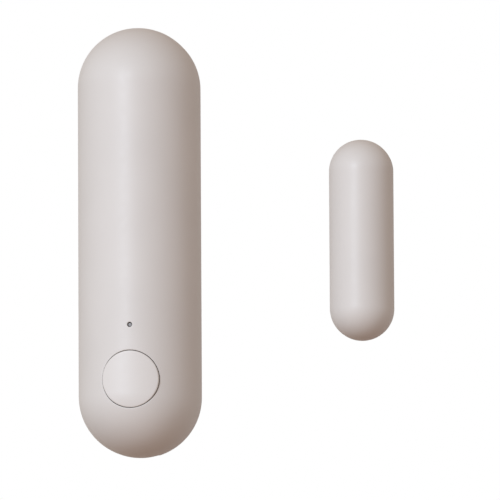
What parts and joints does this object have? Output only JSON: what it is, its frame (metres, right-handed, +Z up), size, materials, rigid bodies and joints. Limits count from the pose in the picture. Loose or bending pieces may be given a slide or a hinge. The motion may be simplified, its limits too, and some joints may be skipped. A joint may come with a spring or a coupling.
{
  "type": "door contact sensor",
  "caption": "Wireless door contact sensor: pill-shaped battery sensor with a round button and indicator, and a smaller pill-shaped magnet beside it.",
  "frame": {"origin": "centre of the sensor unit's flat back face, on the wall", "axes": "+Z up the sensor's long axis, +Y into the wall, +X towards the magnet unit"},
  "size_m": [0.0623, 0.02, 0.0852],
  "materials": {
    "cover_plastic": "satin, very fine spark texture",
    "chassis_plastic": "matt moulded",
    "foam_tape": "matt closed-cell foam",
    "packing_foam": "matt open foam",
    "board_laminate": "solder-mask satin",
    "moulding_black": "matt moulded",
    "capacitor_moulding": "matt moulded",
    "led_resin": "smooth resin",
    "light_pipe_plastic": "clear, polished",
    "reed_glass": "clear",
    "shield_steel": "stamped sheet",
    "screw_steel": "zinc plated",
    "blade_steel": "bright",
    "nickel_plate": "bright nickel",
    "battery_jacket": "printed shrink sleeve, plain"
  },
  "bodies": {
    "mount": {"sensor_adhesive_pad": "foam_tape", "mounting_plate": "cover_plastic"},
    "sensor": {"housing_shell": "cover_plastic", "light_pipe": "light_pipe_plastic", "circuit_board": "board_laminate", "radio_board": "board_laminate", "radio_shield_can": "shield_steel", "microcontroller": "moulding_black", "crystal": "nickel_plate", "bulk_capacitor": "capacitor_moulding", "indicator_led": "led_resin", "reed_glass": "reed_glass", "reed_blade_upper": "blade_steel", "reed_blade_lower": "blade_steel", "antenna": "nickel_plate", "tact_switch_body": "moulding_black", "tamper_switch_body": "moulding_black", "chassis": "chassis_plastic", "chassis_screw_top": "screw_steel", "chassis_screw_left": "screw_steel", "chassis_screw_right": "screw_steel", "battery": "battery_jacket", "battery_contact_positive": "nickel_plate", "battery_contact_negative": "nickel_plate", "battery_link_strip": "nickel_plate"},
    "button": {"button_cap": "cover_plastic"},
    "tact_plunger": {"tact_switch_plunger": "moulding_black"},
    "tamper_pin": {"tamper_plunger": "moulding_black"},
    "magnet_unit": {"magnet_adhesive_pad": "foam_tape", "magnet_base": "cover_plastic", "bar_magnet": "nickel_plate"},
    "magnet_cover": {"magnet_shell": "cover_plastic", "magnet_foam": "packing_foam"}
  },
  "joints": [
    {"name": "housing_release", "type": "slide", "parent": "mount", "child": "sensor", "axis": [0, -1, 0], "range_m": [0, 0.03]},
    {"name": "button_press", "type": "slide", "parent": "sensor", "child": "button", "axis": [0, 1, 0], "range_m": [0, 0.0004], "stiffness_N_per_m": 1500, "springref_m": -0.0003},
    {"name": "tact_plunger_press", "type": "slide", "parent": "sensor", "child": "tact_plunger", "axis": [0, 1, 0], "range_m": [0, 0.00032]},
    {"name": "tamper_release", "type": "slide", "parent": "sensor", "child": "tamper_pin", "axis": [0, 1, 0], "range_m": [0, 0.0009]},
    {"name": "door_travel", "type": "slide", "parent": "mount", "child": "magnet_unit", "axis": [1, 0, 0], "range_m": [-0.02, 0.08]},
    {"name": "magnet_cover_release", "type": "slide", "parent": "magnet_unit", "child": "magnet_cover", "axis": [0, -1, 0], "range_m": [0, 0.015]}
  ],
  "couplings": [
    {"joint": "tact_plunger_press", "follows": "button_press", "ratio": 0.75},
    {"joint": "tamper_release", "follows": "housing_release", "ratio": 0.026667}
  ]
}
